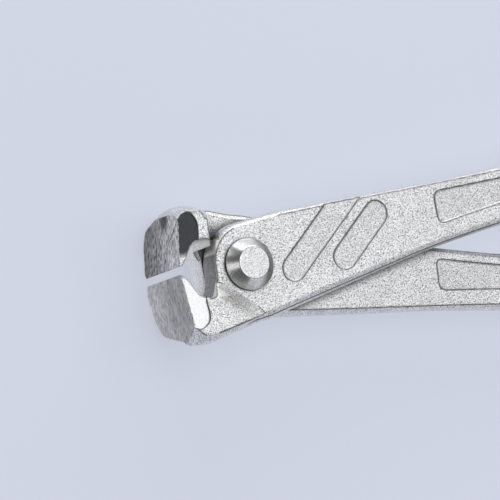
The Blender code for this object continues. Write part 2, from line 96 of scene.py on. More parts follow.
# A jaw's front faces forward by this share. A level flat, a slope and the gentler face at a
# border line face up or down by at least these, and the steep side there by at most its own.
FACES_FORWARD = 0.95
LEVEL = 0.999
SLOPE = 0.86
TOP_AT_LEAST = 0.70
SIDE_AT_MOST = 0.66

# The painted shade line at the borders follows the corners that turn by this angle. Inside
# the lap, up to its end along X and near the middle of the tool, the halves lie on each
# other and have none.
CREASE_ANGLE = math.radians(24)
CREASE_STEP = 0.15 * MM
LINE_REACH = 1.0 * MM
LAP_END = 9.0 * MM
LAP_HEIGHT = 1.0 * MM
GROUND_CORNER_PLAY = 0.02 * MM

# Rivet head over the joint: radius, height and rounding of each corner, in millimetres.
RIVET_CORNERS = ((0.0, 12.75, 0.0), (4.75, 12.75, 0.30), (7.5, 9.45, 0.18), (7.5, 9.0, 0.0),
                 (6.0, 9.0, 0.0))
ROUNDING_STEPS = 8
SHARP_TURN = math.radians(28)

# Photograph: pixels for each metre, place of the joint in the frame, and the view's axes.
PHOTO_PIXELS = 500
PIXELS_PER_METRE = 3500.0
JOINT_PIXEL = (235.8, 269.0)
VIEW_RIGHT = (0.890, -0.1585, 0.427)
VIEW_UP = (0.1007, 0.983, 0.155)
CAMERA_DISTANCE = 1.6
SENSOR_WIDTH = 36.0

# Softboxes round the joint: bearing from +X and height in degrees, distance in metres,
# width and height in degrees, and radiance.
SOFTBOXES = (
    ("softbox_over", 12.0, 88.0, 1.3, 50.0, 36.0, 1.95),
    ("softbox_over_right", 12.0, 50.0, 1.3, 50.0, 16.0, 1.95),
    ("softbox_back", 78.0, 16.0, 1.2, 54.0, 30.0, 3.9),
    ("softbox_right", 34.0, 12.0, 1.2, 24.0, 18.0, 1.5),
    ("softbox_left", 178.0, 20.0, 1.2, 24.0, 22.0, 1.2),
    ("softbox_front", -62.0, 20.0, 1.2, 60.0, 28.0, 1.0),
)

# Noise is turned, so that no flat lies along its grid, where it would lose contrast.
NOISE_TURN = (0.5, 0.35, 0.2)

# Boxes in millimetres that hold the throat, where light is painted, and the joint's wall
# beside it, where shade is painted, with the width of their soft edges.
THROAT = ((-23.5, -8.4, -1.0), (-8.0, 8.6, 24.6))
JOINT_WALL = ((-12.9, -8.0, 12.75), (-8.0, 4.0, 21.0))
THROAT_EDGE = 0.6

# Painted light and shade of a ground jaw face run between these heights. The dark spot is on
# the upper jaw.
JAW_FOOT = 1.0 * MM
JAW_TOP = 23.0 * MM
DARK_SPOT_PLACE = (-21.76 * MM, 15.3 * MM, 15.8 * MM)
DARK_SPOT_CORE = 1.0 * MM
DARK_SPOT_REACH = 4.2 * MM

# Along Y, from where the upper jaw's side is a mirror to where it is satin.
MIRROR_TO_SATIN = (5.6 * MM, 2.8 * MM)

# A Mix node's sockets by number, since its colour sockets share their names with others.
FACTOR, FIRST, SECOND, RESULT = 0, 6, 7, 2
BLEND = {"data_type": "RGBA"}
MULTIPLY = {"data_type": "RGBA", "blend_type": "MULTIPLY"}
SMOOTH = {"interpolation_type": "SMOOTHSTEP"}


def linear(code):
    """Linear RGBA of an sRGB hex colour."""
    channels = [int(code[i:i + 2], 16) / 255 for i in (1, 3, 5)]
    return tuple(c / 12.92 if c <= 0.04045 else ((c + 0.055) / 1.055) ** 2.4
                 for c in channels) + (1.0,)


def grey(value):
    """Linear RGBA of a share of white."""
    return (value, value, value, 1.0)


def plug(tree, node, inputs):
    """Sets a node's inputs: an output socket is linked, and anything else is a value."""
    for key, value in inputs.items():
        if hasattr(value, "is_output"):
            tree.links.new(value, node.inputs[key])
        else:
            node.inputs[key].default_value = value


def add(tree, kind, place, inputs=None, stops=(), **settings):
    """One node with its settings, its inputs and, on a ramp, its positions and colours."""
    node = tree.nodes.new(kind)
    node.location = place
    for name, value in settings.items():
        setattr(node, name, value)
    plug(tree, node, inputs or {})
    while stops and len(node.color_ramp.elements) < len(stops):
        node.color_ramp.elements.new(0.5)
    for number, (position, colour) in enumerate(stops):
        node.color_ramp.elements[number].position = position
        node.color_ramp.elements[number].color = colour
    return node


def new_material(name):
    """Material with its node tree and its shader."""
    made = bpy.data.materials.new(name)
    made.use_nodes = True
    tree = made.node_tree
    return made, tree, next(n for n in tree.nodes if n.type == "BSDF_PRINCIPLED")


def grains(tree, place, coordinates, size_mm, detail=2.0, roughness=0.5, stretch=(1.0, 1.0, 1.0)):
    """Grains about size_mm across, drawn out along the axes whose stretch is under 1."""
    turned = add(tree, "ShaderNodeMapping", (place[0] - 200, place[1]),
                 {"Vector": coordinates, "Scale": stretch, "Rotation": NOISE_TURN})
    return add(tree, "ShaderNodeTexNoise", place,
               {"Vector": turned.outputs["Vector"], "Scale": 1 / (size_mm * MM), "Detail": detail,
                "Roughness": roughness}).outputs["Fac"]


def painted_corner_shade(tree, place, reach_mm, closed, open_from, dark):
    """Painted shade: dark where other surfaces stand close, in inner corners."""
    near = add(tree, "ShaderNodeAmbientOcclusion", place, {"Distance": reach_mm * MM}, samples=8)
    return add(tree, "ShaderNodeMapRange", (place[0] + 200, place[1]),
               {"Value": near.outputs["AO"], "From Min": closed, "From Max": open_from,
                "To Min": dark}, **SMOOTH).outputs["Result"]


def along_border(tree, place, reach_mm):
    """1 along the outer corners of a flat, falling to 0 within the reach."""
    thin = add(tree, "ShaderNodeAmbientOcclusion", place, {"Distance": reach_mm * MM}, samples=8,
               inside=True)
    return add(tree, "ShaderNodeMapRange", (place[0] + 200, place[1]),
               {"Value": thin.outputs["AO"], "From Min": 0.95, "From Max": 0.80},
               **SMOOTH).outputs["Result"]


def inside_box(tree, place, coordinates, low, high, edge_mm):
    """1 inside a box given in millimetres, falling to 0 over its soft edge."""
    apart = add(tree, "ShaderNodeSeparateXYZ", place, {"Vector": coordinates})
    inside = None
    for row, axis in enumerate("XYZ"):
        for end, way in ((low[row], 1), (high[row], -1)):
            side = add(tree, "ShaderNodeMapRange", (place[0] + 200, place[1] - 120 * row),
                       {"Value": apart.outputs[axis], "From Min": (end - way * edge_mm / 2) * MM,
                        "From Max": (end + way * edge_mm / 2) * MM}, **SMOOTH).outputs["Result"]
            if inside is None:
                inside = side
            else:
                inside = add(tree, "ShaderNodeMath", (place[0] + 400, place[1] - 120 * row),
                             {0: inside, 1: side}, operation="MULTIPLY").outputs["Value"]
    return inside


def blasted_zinc(name, pits, zinc, grain_mm, depth_mm, painted_crease_line=False, border_mm=0.0,
                 throat=False):
    """Zinc plated over shot-blasted steel.

    It looks bright and sandy: small dark pits between pale grains, with broad soft
    highlights. Real pits are 0.1 to 0.2 mm across, and are drawn coarser so that they show.
    """
    made, tree, shader = new_material(name)
    place = add(tree, "ShaderNodeTexCoord", (-2100, 0)).outputs["Object"]
    grain = grains(tree, (-1500, 300), place, grain_mm, detail=2.5, roughness=0.75)
    patches = grains(tree, (-1500, 0), place, size_mm=4.0)
    colour = add(tree, "ShaderNodeValToRGB", (-1100, 300), {"Fac": grain},
                 ((0.37, pits), (0.50, zinc), (0.64, linear("#fefefd")))).outputs["Color"]
    # The plating differs a little in brightness from patch to patch.
    tint = add(tree, "ShaderNodeValToRGB", (-1100, 0), {"Fac": patches},
               ((0.35, grey(0.92)), (0.68, grey(1.0)))).outputs["Color"]
    colour = add(tree, "ShaderNodeMix", (-900, 200), {FACTOR: 1.0, FIRST: colour, SECOND: tint},
                 **MULTIPLY).outputs[RESULT]
    # Painted shade darkens the zinc where other surfaces stand close, in inner corners.
    corners = painted_corner_shade(tree, (-1500, -150), reach_mm=4.5, closed=0.42, open_from=0.90, dark=0.16)
    colour = add(tree, "ShaderNodeMix", (-700, 200), {FACTOR: 1.0, FIRST: colour, SECOND: corners},
                 **MULTIPLY).outputs[RESULT]
    if throat:
        # Painted light brightens the throat, and painted shade darkens the joint's wall beside it.
        bright = inside_box(tree, (-1500, -900), place, *THROAT, THROAT_EDGE)
        painted_throat_light = add(tree, "ShaderNodeValToRGB", (-1100, -900), {"Fac": grain},
                     ((0.37, linear("#c4c3be")), (0.52, linear("#fdfcf7")))).outputs["Color"]
        colour = add(tree, "ShaderNodeMix", (-650, 200),
                     {FACTOR: bright, FIRST: colour, SECOND: painted_throat_light}, **BLEND).outputs[RESULT]
        # Painted shade on the joint's wall beside the throat.
        painted_shade = inside_box(tree, (-1500, -1400), place, *JOINT_WALL, THROAT_EDGE)
        painted_wall_shade = add(tree, "ShaderNodeValToRGB", (-1100, -1400), {"Fac": grain},
                   ((0.37, linear("#5b5a58")), (0.60, linear("#b3b1ad")))).outputs["Color"]
        colour = add(tree, "ShaderNodeMix", (-600, 200),
                     {FACTOR: painted_shade, FIRST: colour, SECOND: painted_wall_shade}, **BLEND).outputs[RESULT]
    if painted_crease_line:
        # Painted shade: a thin dark line along the creases beside the flat.
        rim = add(tree, "ShaderNodeAttribute", (-1500, -300), attribute_name="rim").outputs["Fac"]
        clear = add(tree, "ShaderNodeMapRange", (-1100, -300),
                    {"Value": rim, "From Min": 0.10, "From Max": 0.42}, **SMOOTH).outputs["Result"]
        colour = add(tree, "ShaderNodeMix", (-500, 200),
                     {FACTOR: clear, FIRST: linear("#383939"), SECOND: colour},
                     **BLEND).outputs[RESULT]
    if border_mm:
        # The same painted shade line lies on the flat's own side of its border.
        border_shade = along_border(tree, (-1500, -900), border_mm)
        colour = add(tree, "ShaderNodeMix", (-500, 200),
                     {FACTOR: border_shade, FIRST: colour, SECOND: linear("#444444")},
                     **BLEND).outputs[RESULT]
    rough = add(tree, "ShaderNodeValToRGB", (-1100, -600), {"Fac": grain},
                ((0.3, grey(0.50)), (0.7, grey(0.38)))).outputs["Color"]
    bump = add(tree, "ShaderNodeBump", (-300, -400),
               {"Height": grain, "Strength": 0.8, "Distance": depth_mm * MM})
    plug(tree, shader, {"Base Color": colour, "Roughness": rough, "Metallic": 1.0,
                        "Normal": bump.outputs["Normal"]})
    return made


def ground_steel(name, dark, light, lean_deg, foot_shade, top_shade, dark_spot=False):
    """Steel ground along the closing direction.

    The belt leaves fine streaks, paler and darker, under a satin sheen. The streaks are
    drawn 0.24 mm apart, which is coarser than the real grit, so that they show. Painted light
    and shade make the face brighter at one end, and a dark spot may lie on it.
    """
    made, tree, shader = new_material(name)
    place = add(tree, "ShaderNodeTexCoord", (-2100, 0)).outputs["Object"]
    leaning = add(tree, "ShaderNodeMapping", (-1850, 150),
                  {"Vector": place, "Rotation": (0.0, 0.0, math.radians(lean_deg))})
    upright = leaning.outputs["Vector"]
    lines = grains(tree, (-1300, 300), upright, size_mm=0.24, stretch=(1.0, 0.16, 1.0))
    clouds = grains(tree, (-1300, 0), upright, size_mm=2.6, stretch=(1.0, 0.25, 1.0))
    colour = add(tree, "ShaderNodeValToRGB", (-1000, 300), {"Fac": lines},
                 ((0.36, dark), (0.62, light))).outputs["Color"]
    tint = add(tree, "ShaderNodeValToRGB", (-1000, 0), {"Fac": clouds},
               ((0.35, grey(0.78)), (0.62, grey(1.0)))).outputs["Color"]
    colour = add(tree, "ShaderNodeMix", (-700, 200), {FACTOR: 1.0, FIRST: colour, SECOND: tint},
                 **MULTIPLY).outputs[RESULT]
    # Painted light and shade: the face is lighter towards one end.
    apart = add(tree, "ShaderNodeSeparateXYZ", (-1300, -300), {"Vector": place})
    shade = add(tree, "ShaderNodeMapRange", (-1000, -300),
                {"Value": apart.outputs["Z"], "From Min": JAW_FOOT, "From Max": JAW_TOP,
                 "To Min": foot_shade, "To Max": top_shade}, **SMOOTH).outputs["Result"]
    colour = add(tree, "ShaderNodeMix", (-500, 200), {FACTOR: 1.0, FIRST: colour, SECOND: shade},
                 **MULTIPLY).outputs[RESULT]
    # A dark spot on the face.
    if dark_spot:
        away = add(tree, "ShaderNodeVectorMath", (-1300, -500), {0: place, 1: DARK_SPOT_PLACE},
                   operation="DISTANCE")
        spot = add(tree, "ShaderNodeMapRange", (-1000, -500),
                   {"Value": away.outputs["Value"], "From Min": DARK_SPOT_CORE,
                    "From Max": DARK_SPOT_REACH, "To Min": 0.15}, **SMOOTH).outputs["Result"]
        colour = add(tree, "ShaderNodeMix", (-350, 200),
                     {FACTOR: 1.0, FIRST: colour, SECOND: spot}, **MULTIPLY).outputs[RESULT]
    bump = add(tree, "ShaderNodeBump", (-300, -400),
               {"Height": lines, "Strength": 0.8, "Distance": 0.05 * MM})
    plug(tree, shader, {"Base Color": colour, "Roughness": 0.40, "Metallic": 1.0,
                        "Normal": bump.outputs["Normal"]})
    return made


def ground_jaw_side(name, dark, mirror=None):
    """Ground side of a jaw's tip.

    Satin grinding looks pale and even. Where the grinding is finer, the steel is a mirror
    that shows the dark room, and its colour is darkened there as painted reflection. The two
    places along Y say where it ends.
    """
    made, tree, shader = new_material(name)
    place = add(tree, "ShaderNodeTexCoord", (-2100, 0)).outputs["Object"]
    grain = grains(tree, (-1300, 300), place, size_mm=0.30, roughness=0.6)
    colour = add(tree, "ShaderNodeValToRGB", (-1000, 300), {"Fac": grain},
                 ((0.40, dark), (0.60, linear("#fbfbfb")))).outputs["Color"]
    rough = 0.42
    if mirror:
        apart = add(tree, "ShaderNodeSeparateXYZ", (-1300, 0), {"Vector": place})
        satin = add(tree, "ShaderNodeMapRange", (-1000, 0),
                    {"Value": apart.outputs["Y"], "From Min": mirror[0], "From Max": mirror[1]},
                    **SMOOTH).outputs["Result"]
        # Painted reflection: the mirror part's colour is darkened, besides its lower roughness.
        colour = add(tree, "ShaderNodeMix", (-600, 200),
                     {FACTOR: satin, FIRST: linear("#828384"), SECOND: colour},
                     **BLEND).outputs[RESULT]
        rough = add(tree, "ShaderNodeMapRange", (-600, -200),
                    {"Value": satin, "To Min": 0.14, "To Max": rough}).outputs["Result"]
    bump = add(tree, "ShaderNodeBump", (-300, -400),
               {"Height": grain, "Strength": 0.35, "Distance": 0.03 * MM})
    plug(tree, shader, {"Base Color": colour, "Roughness": rough, "Metallic": 1.0,
                        "Normal": bump.outputs["Normal"]})
    return made


def turned_rivet(dark, light):
    """Zinc on the turned cone of a rivet head.

    Turning leaves it smooth, so it shows the studio as soft bright and dark bands. Painted
    shade darkens its foot against the flat, and its side towards the handles.
    """
    made, tree, shader = new_material("turned_rivet_cone")
    place = add(tree, "ShaderNodeTexCoord", (-2100, 0)).outputs["Object"]
    grain = grains(tree, (-1100, 200), place, size_mm=0.25, roughness=0.6)
    colour = add(tree, "ShaderNodeValToRGB", (-800, 300), {"Fac": grain},
                 ((0.3, dark), (0.7, light))).outputs["Color"]
    # Painted shade darkens the cone's foot, where it meets the flat.
    corners = painted_corner_shade(tree, (-1100, -100), reach_mm=1.7, closed=0.68, open_from=0.96, dark=0.03)
    colour = add(tree, "ShaderNodeMix", (-500, 200), {FACTOR: 1.0, FIRST: colour, SECOND: corners},
                 **MULTIPLY).outputs[RESULT]
    # Painted shade: the cone is darker on its side towards the handles.
    apart = add(tree, "ShaderNodeSeparateXYZ", (-1100, -300), {"Vector": place})
    painted_shade = add(tree, "ShaderNodeMapRange", (-800, -300),
               {"Value": apart.outputs["X"], "From Min": 0.0, "From Max": 6.0 * MM, "To Min": 1.0,
                "To Max": 0.34}, **SMOOTH).outputs["Result"]
    colour = add(tree, "ShaderNodeMix", (-350, 200), {FACTOR: 1.0, FIRST: colour, SECOND: painted_shade},
                 **MULTIPLY).outputs[RESULT]
    bump = add(tree, "ShaderNodeBump", (-300, -400),
               {"Height": grain, "Strength": 0.3, "Distance": 0.02 * MM})
    plug(tree, shader, {"Base Color": colour, "Roughness": 0.26, "Metallic": 1.0,
                        "Normal": bump.outputs["Normal"]})
    return made


def dipped_vinyl(dark, light):
    """Vinyl dipped over the bars: an even skin with a soft sheen and slow waves from dripping."""
    made, tree, shader = new_material("dipped_vinyl")
    place = add(tree, "ShaderNodeTexCoord", (-2100, 0)).outputs["Object"]
    waves = grains(tree, (-1100, 200), place, size_mm=6.0)
    colour = add(tree, "ShaderNodeValToRGB", (-800, 300), {"Fac": waves},
                 ((0.3, dark), (0.7, light))).outputs["Color"]
    bump = add(tree, "ShaderNodeBump", (-300, -400),
               {"Height": waves, "Strength": 0.2, "Distance": 0.2 * MM})
    plug(tree, shader, {"Base Color": colour, "Roughness": 0.38, "Normal": bump.outputs["Normal"]})
    return made


def studio_paper(paper, glow):
    """Matt paper that metal and camera see evenly lit, with a faint shadow on it."""
    made, tree, shader = new_material("studio_paper")
    path = add(tree, "ShaderNodeLightPath", (-900, 300)).outputs
    mirrored = add(tree, "ShaderNodeMath", (-600, 150),
                   {0: path["Is Glossy Ray"], 1: path["Is Transmission Ray"]}, operation="ADD",
                   use_clamp=True).outputs["Value"]
    strength = add(tree, "ShaderNodeMath", (-400, 300),
                   {0: path["Is Camera Ray"], 1: glow, 2: mirrored},
                   operation="MULTIPLY_ADD").outputs["Value"]
    plug(tree, shader, {"Emission Color": paper, "Emission Strength": strength,
                        "Base Color": linear("#7f838e"), "Roughness": 1.0,
                        "Specular IOR Level": 0.0})
    return made


def linked(name, mesh):
    """New object with this mesh, in the scene."""
    made = bpy.data.objects.new(name, mesh)
    bpy.context.scene.collection.objects.link(made)
    return made


def welded_copy(node, name):
    """Copy of a node's mesh with its split corners joined again."""
    mesh = frame["nodes"][node].data.copy()
    mesh.materials.clear()
    joined = bmesh.new()
    joined.from_mesh(mesh)
    bmesh.ops.remove_doubles(joined, verts=joined.verts, dist=0.001 * MM)
    joined.to_mesh(mesh)
    joined.free()
    return linked(name, mesh)


def apply_modifiers(obj):
    """Gives an object the mesh that its modifiers make, in place of its own."""
    graph = bpy.context.evaluated_depsgraph_get()
    mesh = bpy.data.meshes.new_from_object(obj.evaluated_get(graph))
    old = obj.data
    obj.modifiers.clear()
    obj.data = mesh
    bpy.data.meshes.remove(old)


def even_cells(obj, cell, passes):
    """Closed mesh in small even cells, with its corners softened."""
    remesh = obj.modifiers.new("cells", "REMESH")
    remesh.mode = "VOXEL"
    remesh.voxel_size = cell
    soften = obj.modifiers.new("soften", "SMOOTH")
    soften.factor = 0.5
    soften.iterations = passes
    apply_modifiers(obj)


def outer_border(region, facing):
    """Corners round the outside of a group of joined faces."""
    inside = set(region)
    following = {}
    for face in region:
        for corner in face.loops:
            if any(other not in inside for other in corner.edge.link_faces):
                following[corner.vert] = corner.link_loop_next.vert
    borders = []
    while following:
        first, here = following.popitem()
        points = [first.co.copy()]
        while here in following:
            points.append(here.co.copy())
            here = following.pop(here)
        borders.append(points)
    return max(borders, key=lambda points: sum(
        a.cross(b).dot(facing) for a, b in zip(points, points[1:] + points[:1])))


def kind_of_flat(facing, distance, area):
    """What a flat area is, by the way it faces, its place and its size, or None."""
    if area < LEAST_FLAT:
        return None
    if facing.x < -FACES_FORWARD:
        return "front"
    if abs(facing.z) < LEVEL:
        return None
    if area > LEAST_PLATE:
        return "plate"
    if area > LEAST_FIELD:
        return "field"
    height = abs(distance - facing.z * JOINT.z)
    return "side" if abs(height - GROUND_SIDE_HEIGHT) < HEIGHT_PLAY else None


def flat_areas(mesh):
    """Flat areas of a half: kind, way they face, distance from the origin, and border."""
    source = bmesh.new()
    source.from_mesh(mesh)
    seen, found = set(), []
    for face in source.faces:
        if face in seen:
            continue
        seen.add(face)
        region, queue = [face], [face]
        facing = face.normal.copy()
        distance = facing.dot(face.calc_center_median())
        while queue:
            for edge in queue.pop().edges:
                for other in edge.link_faces:
                    level = abs(facing.dot(other.calc_center_median()) - distance) < LEVEL_PLAY
                    if other not in seen and level and other.normal.dot(facing) > SAME_FLAT:
                        seen.add(other)
                        region.append(other)
                        queue.append(other)
        kind = kind_of_flat(facing, distance, sum(f.calc_area() for f in region) / MM ** 2)
        if kind:
            found.append((kind, facing, distance, outer_border(region, facing)))
    source.free()
    return found


def stepped(border):
    """Points along a closed border, a crease step apart."""
    points = []
    for a, b in zip(border, border[1:] + border[:1]):
        count = max(1, round((b - a).length / CREASE_STEP))
        points += [a.lerp(b, i / count) for i in range(count)]
    return points


def creases(mesh):
    """Points along the corners where a flat or gently sloped face meets a steep side."""
    source = bmesh.new()
    source.from_mesh(mesh)
    points = []
    for edge in source.edges:
        steeper, gentler = sorted(abs(face.normal.z) for face in edge.link_faces)
        a, b = (vert.co for vert in edge.verts)
        heights = [abs(point.z - JOINT.z) for point in (a, b)]
        ground = max(abs(height - GROUND_SIDE_HEIGHT) for height in heights) < GROUND_CORNER_PLAY
        in_lap = min(heights) < LAP_HEIGHT and min(a.x, b.x) < LAP_END
        if ground or in_lap or steeper > SIDE_AT_MOST or gentler < TOP_AT_LEAST:
            continue
        if not edge.is_convex or edge.calc_face_angle() < CREASE_ANGLE:
            continue
        count = max(1, round((b - a).length / CREASE_STEP))
        points += [a.lerp(b, i / count) for i in range(count + 1)]
    source.free()
    return points


def slabs_over(areas):
    """Thin blocks that take a hair off each crisp flat, so that it ends in a sharp edge."""
    mesh = bmesh.new()
    for kind, facing, distance, border in areas:
        if kind not in CRISP_KINDS:
            continue
        low = [mesh.verts.new(point - facing * FLAT_CUT) for point in border]
        high = [mesh.verts.new(point + facing * SLAB_HEIGHT) for point in border]
        mesh.faces.new(low[::-1])
        mesh.faces.new(high)
        for i in range(len(border)):
            j = (i + 1) % len(border)
            mesh.faces.new((low[i], low[j], high[j], high[i]))
    bmesh.ops.triangulate(mesh, faces=mesh.faces)
    bmesh.ops.recalc_face_normals(mesh, faces=mesh.faces)
    data = bpy.data.meshes.new("slabs")
    mesh.to_mesh(data)
    mesh.free()
    return linked("slabs", data)


def cut_away(obj, tool):
    """Takes a tool's shape off an object, and the tool out of the scene."""
    cut = obj.modifiers.new("crisp flats", "BOOLEAN")
    cut.operation = "DIFFERENCE"
    cut.solver = "MANIFOLD"
    cut.object = tool
    apply_modifiers(obj)
    bpy.data.objects.remove(tool)


def vectors(items, what):
    """Rows of one vector property of a mesh's items."""
    found = np.empty(len(items) * 3)
    items.foreach_get(what, found)
    return found.reshape(-1, 3)


def level_fields(mesh, areas):
    """Brings the floors of the pressed fields back to their exact level."""
    places = vectors(mesh.vertices, "co")
    normals = vectors(mesh.vertices, "normal")
    for kind, facing, distance, border in areas:
        if kind != "field":
            continue
        facing = np.array(facing)
        level = places @ facing - distance
        floor = (np.abs(level) < FIELD_PLAY) & (normals @ facing > NEAR_FLOOR)
        places[floor] -= np.outer(level[floor], facing)
    mesh.vertices.foreach_set("co", places.ravel())
    mesh.update()


def mark_surfaces(mesh, areas):
    """Gives each face the material number of its kind, and the crisp flats a sharp border."""
    centres = vectors(mesh.polygons, "center")
    normals = vectors(mesh.polygons, "normal")
    number = np.where(np.abs(normals[:, 2]) > SLOPE, KINDS.index("slope"), 0).astype(np.int32)
    for kind, facing, distance, border in areas:
        level = centres @ np.array(facing) - distance
        turned = normals @ np.array(facing)
        if kind == "field":
            floor = np.abs(level) < FIELD_MARK
            number[floor & (turned > FIELD_FLOOR)] = KINDS.index(kind)
        else:
            cut = np.abs(level + FLAT_CUT) < LEVEL_PLAY
            number[cut & (turned > CUT_FLAT)] = KINDS.index(kind)
    mesh.polygons.foreach_set("material_index", number)
    mesh.polygons.foreach_set("use_smooth", np.ones(len(number), dtype=bool))

    # An edge is sharp where a crisp kind lies on one side of it only.
    crisp = np.isin(number, [KINDS.index(kind) for kind in CRISP_KINDS])
    edge_of = np.empty(len(mesh.loops), dtype=np.int32)
    mesh.loops.foreach_get("edge_index", edge_of)
    sizes = np.empty(len(mesh.polygons), dtype=np.int32)
    mesh.polygons.foreach_get("loop_total", sizes)
    of_loop = np.repeat(np.where(crisp, number, 0), sizes)
    low = np.full(len(mesh.edges), len(KINDS), dtype=np.int32)
    high = np.full(len(mesh.edges), -1, dtype=np.int32)
    np.minimum.at(low, edge_of, of_loop)
    np.maximum.at(high, edge_of, of_loop)
    mesh.attributes.new("sharp_edge", "BOOLEAN", "EDGE")
    mesh.attributes["sharp_edge"].data.foreach_set("value", low != high)


def mark_rim(mesh, line_points):
    """Stores how far each vertex is from the border line, from 0 on it to 1 at its reach."""
    tree = kdtree.KDTree(len(line_points))
    for i, point in enumerate(line_points):
        tree.insert(point, i)
    tree.balance()
    near = [min(1.0, tree.find(place)[2] / LINE_REACH) for place in vectors(mesh.vertices, "co")]
    mesh.attributes.new("rim", "FLOAT", "POINT").data.foreach_set("value", near)


def rounded_profile(corners):
    """Points of a turned profile in metres, each corner rounded by its own reach."""
    points = []
    for i, (radius, height, rounding) in enumerate(corners):
        here = Vector((radius, height))
        if not rounding:
            points.append(here * MM)
            continue
        before = (Vector(corners[i - 1][:2]) - here).normalized() * rounding
        after = (Vector(corners[i + 1][:2]) - here).normalized() * rounding
        for step in range(ROUNDING_STEPS + 1):
            t = step / ROUNDING_STEPS
            points.append((here + before * (1 - t) ** 2 + after * t ** 2) * MM)
    return points


def turned_rivet_mesh(turns):
    """Both heads and the shank in one turned solid. The end flats have the second material."""
    upper = rounded_profile(RIVET_CORNERS)
    profile = upper + [Vector((p.x, -p.y)) for p in reversed(upper)]
    angles = [2 * math.pi * i / turns for i in range(turns)]
    mesh = bmesh.new()
    rings = []
    for radius, height in profile:
        if radius == 0.0:
            rings.append([mesh.verts.new(JOINT + Vector((0.0, 0.0, height)))] * turns)
            continue
        rings.append([mesh.verts.new(JOINT + Vector((radius * math.cos(a), radius * math.sin(a),
                                                     height))) for a in angles])
    for above, below in zip(rings, rings[1:]):
        for i in range(turns):
            j = (i + 1) % turns
            corners = dict.fromkeys((above[i], below[i], below[j], above[j]))
            face = mesh.faces.new(corners)
            face.smooth = True
            face.material_index = 1 if len(corners) == 3 else 0
    bmesh.ops.recalc_face_normals(mesh, faces=mesh.faces)
    for edge in mesh.edges:
        if len(edge.link_faces) == 2 and edge.calc_face_angle() > SHARP_TURN:
            edge.smooth = False
    data = bpy.data.meshes.new("pivot_rivet_turned")
    mesh.to_mesh(data)
    mesh.free()
    return data


def add_camera(scene):
    """Camera at the photograph's angle, with the joint at its place in the frame."""
    right = Vector(VIEW_RIGHT).normalized()
    up = Vector(VIEW_UP)
    up = (up - right * up.dot(right)).normalized()
    back = right.cross(up)
    centre = PHOTO_PIXELS / 2
    aim = JOINT + right * ((centre - JOINT_PIXEL[0]) / PIXELS_PER_METRE)
    aim += up * ((JOINT_PIXEL[1] - centre) / PIXELS_PER_METRE)
    data = bpy.data.cameras.new("photo_camera")
    camera = bpy.data.objects.new("photo_camera", data)
    scene.collection.objects.link(camera)
    turn = Matrix((right, up, back)).transposed().to_4x4()
    camera.matrix_world = Matrix.Translation(aim + back * CAMERA_DISTANCE) @ turn
    data.sensor_width = SENSOR_WIDTH
    data.lens = SENSOR_WIDTH * CAMERA_DISTANCE * PIXELS_PER_METRE / PHOTO_PIXELS
    scene.camera = camera


def add_softbox(scene, name, bearing, height, distance, width, depth, radiance):
    """Rectangular lamp that faces the joint, sized by the angles it fills there."""
    turn, rise = math.radians(bearing), math.radians(height)
    way = Vector((math.cos(turn) * math.cos(rise), math.sin(turn) * math.cos(rise),
                  math.sin(rise)))
    data = bpy.data.lights.new(name, "AREA")
    data.shape = "RECTANGLE"
    data.size = 2 * distance * math.tan(math.radians(width / 2))
    data.size_y = 2 * distance * math.tan(math.radians(depth / 2))
    data.energy = radiance * math.pi * data.size * data.size_y
    lamp = bpy.data.objects.new(name, data)
    lamp.location = JOINT + way * distance
    lamp.rotation_euler = (-way).to_track_quat("-Z", "Y").to_euler()
    lamp.visible_camera = False
    scene.collection.objects.link(lamp)


# What every colour property has in common: a linear colour with alpha.
COLOUR = {"subtype": "COLOR", "size": 4, "min": 0.0, "max": 1.0}


class NippersForgingSettings(bpy.types.PropertyGroup):
    cell: bpy.props.FloatProperty(
        name="Cell", description="Edge length of the mesh cells on the forged halves",
        default=0.37 * MM, subtype="DISTANCE", unit="LENGTH")
    softening: bpy.props.IntProperty(
        name="Softening", description="Smoothing passes over the forged corners", default=3)
    pits: bpy.props.FloatVectorProperty(
        name="Pits", description="Colour of the pits in the zinc on the flats",
        default=linear("#4d4d4d"), **COLOUR)
    zinc: bpy.props.FloatVectorProperty(
        name="Zinc", description="Colour of the zinc between the pits on the flats",
        default=linear("#efefef"), **COLOUR)


class NippersRivetSettings(bpy.types.PropertyGroup):
    turns: bpy.props.IntProperty(
        name="Turns", description="Faces round the rivet", default=144, min=12)
    dark: bpy.props.FloatVectorProperty(
        name="Dark", description="Darker colour of the turned cone", default=linear("#bcbbb8"),
        **COLOUR)
    light: bpy.props.FloatVectorProperty(
        name="Light", description="Lighter colour of the turned cone", default=linear("#e6e5e1"),
        **COLOUR)


class NippersGripSettings(bpy.types.PropertyGroup):
    cell: bpy.props.FloatProperty(
        name="Cell", description="Edge length of the mesh cells on the sleeves",
        default=0.60 * MM, subtype="DISTANCE", unit="LENGTH")
    softening: bpy.props.IntProperty(
        name="Softening", description="Smoothing passes over the sleeves", default=6)
    dark: bpy.props.FloatVectorProperty(
        name="Dark", description="Darker colour of the vinyl", default=linear("#a51d1f"), **COLOUR)
    light: bpy.props.FloatVectorProperty(
        name="Light", description="Lighter colour of the vinyl", default=linear("#b3262a"),
        **COLOUR)


class NippersStageSettings(bpy.types.PropertyGroup):
    floor_size: bpy.props.FloatProperty(
        name="Floor size", description="Side of the square floor", default=40.0,
        subtype="DISTANCE", unit="LENGTH")
    paper: bpy.props.FloatVectorProperty(
        name="Paper", description="Colour of the floor and the room", default=linear("#d3d7e4"),
        **COLOUR)
    floor_glow: bpy.props.FloatProperty(
        name="Floor glow", description="Share of the floor's colour that no shadow takes away",
        default=0.73, min=0.0, max=1.0, subtype="FACTOR")
    room: bpy.props.FloatProperty(
        name="Room", description="Brightness of the room round the softboxes", default=0.20)
    key: bpy.props.FloatProperty(
        name="Key", description="Factor on the strength of all softboxes", default=1.0)


